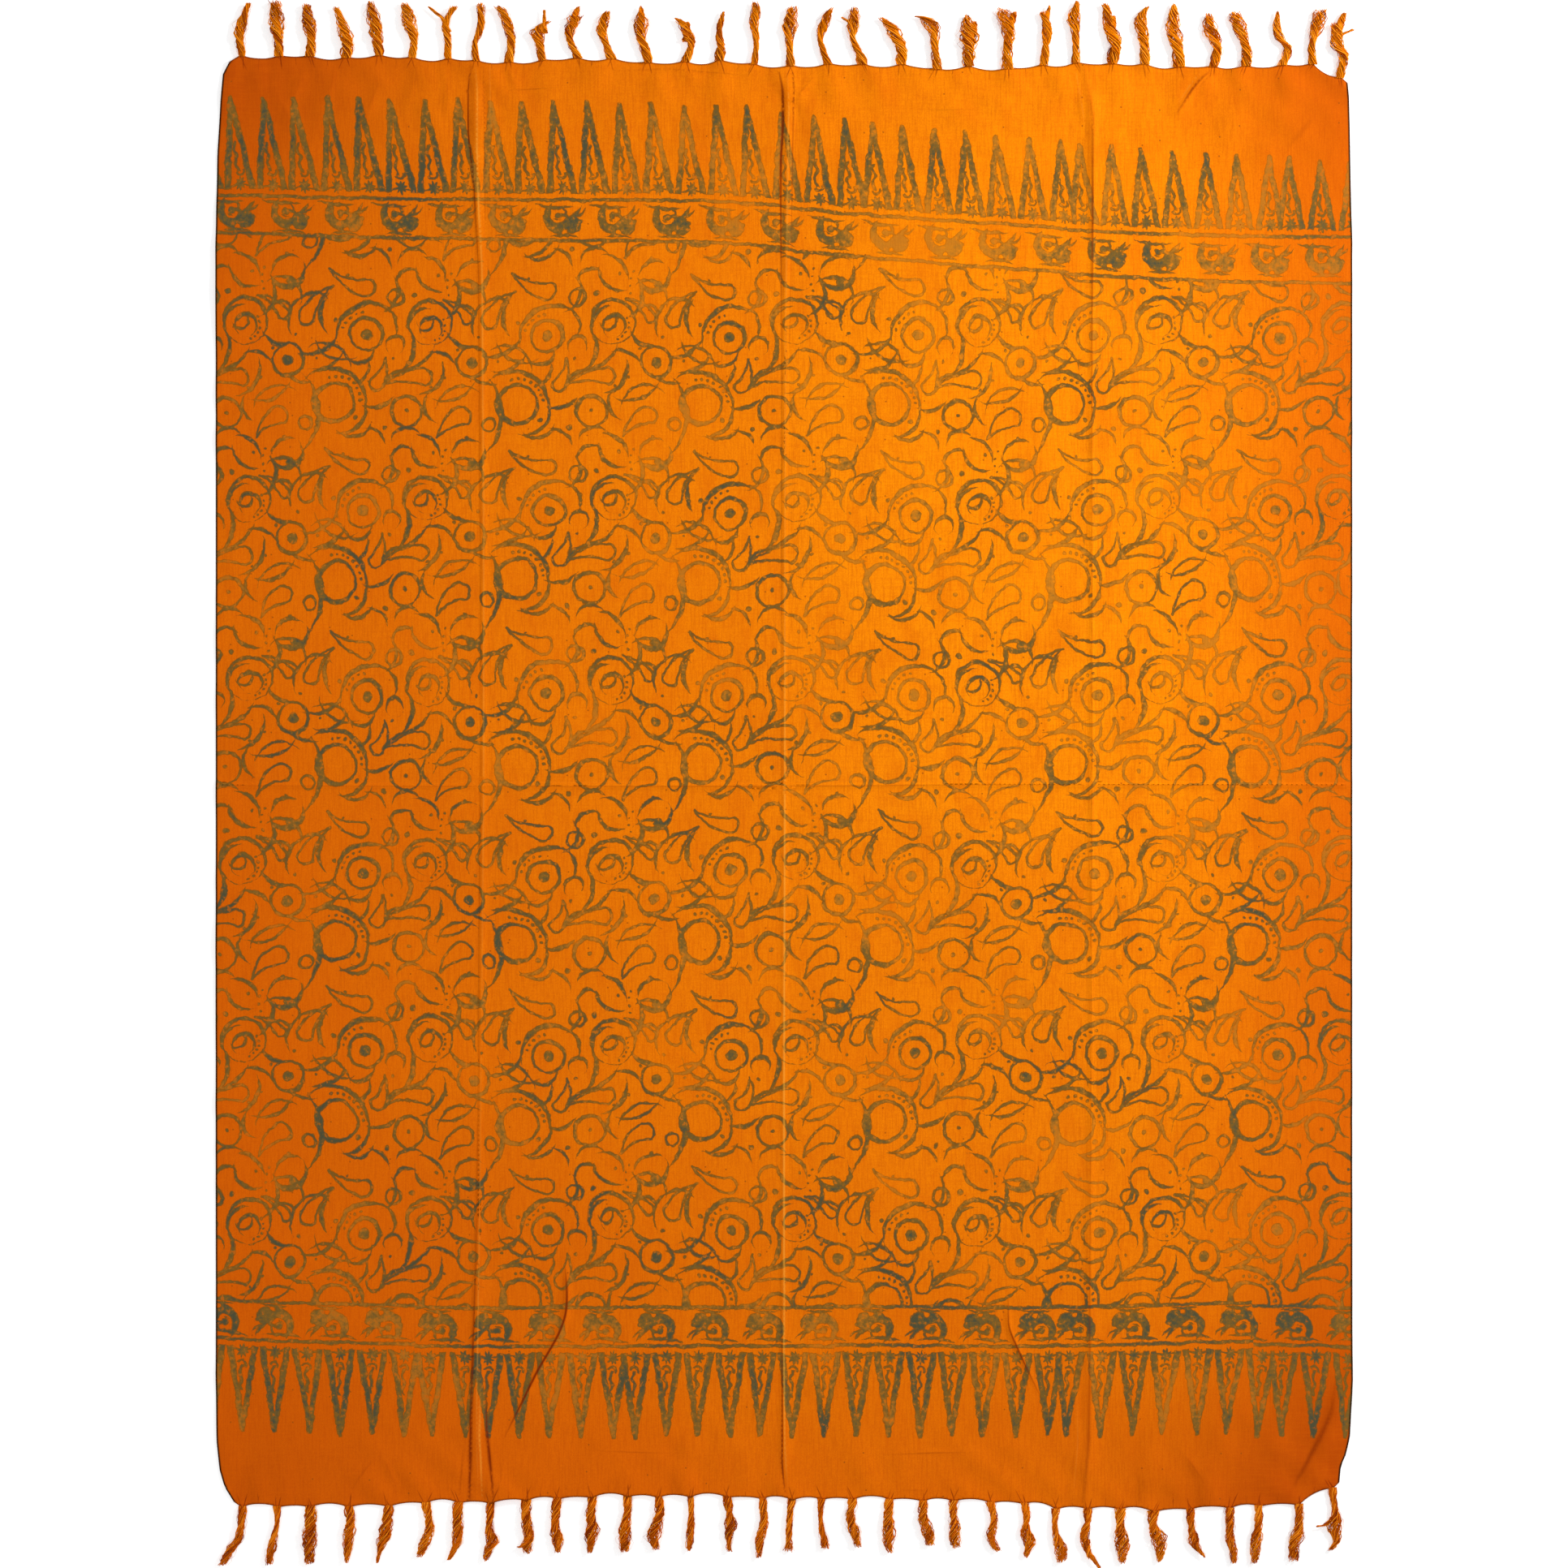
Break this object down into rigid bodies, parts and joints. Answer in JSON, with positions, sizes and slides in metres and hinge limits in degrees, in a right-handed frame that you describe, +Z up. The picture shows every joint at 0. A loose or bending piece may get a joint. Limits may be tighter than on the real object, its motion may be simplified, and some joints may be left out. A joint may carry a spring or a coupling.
{
  "type": "sarong laid flat",
  "caption": "Rectangular wrap cloth laid flat: a woven panel with faint fold creases and a knotted tassel fringe along each end.",
  "frame": {"origin": "on the floor under the middle of the whole piece, fringes included", "axes": "+Z up from the floor, +Y along the cloth's length towards the end with the sloping print border, +X across its width"},
  "size_m": [1.1501, 1.5854, 0.0059],
  "materials": {
    "cloth": "plain-woven rayon, matt, orange with a stamped grey-olive batik print",
    "fringe": "twisted and knotted warp ends of the same cloth, matt orange, frayed at the tips"
  },
  "bodies": {
    "root": {"cloth": "cloth", "fringe_top": "fringe", "fringe_bottom": "fringe"}
  },
  "joints": []
}
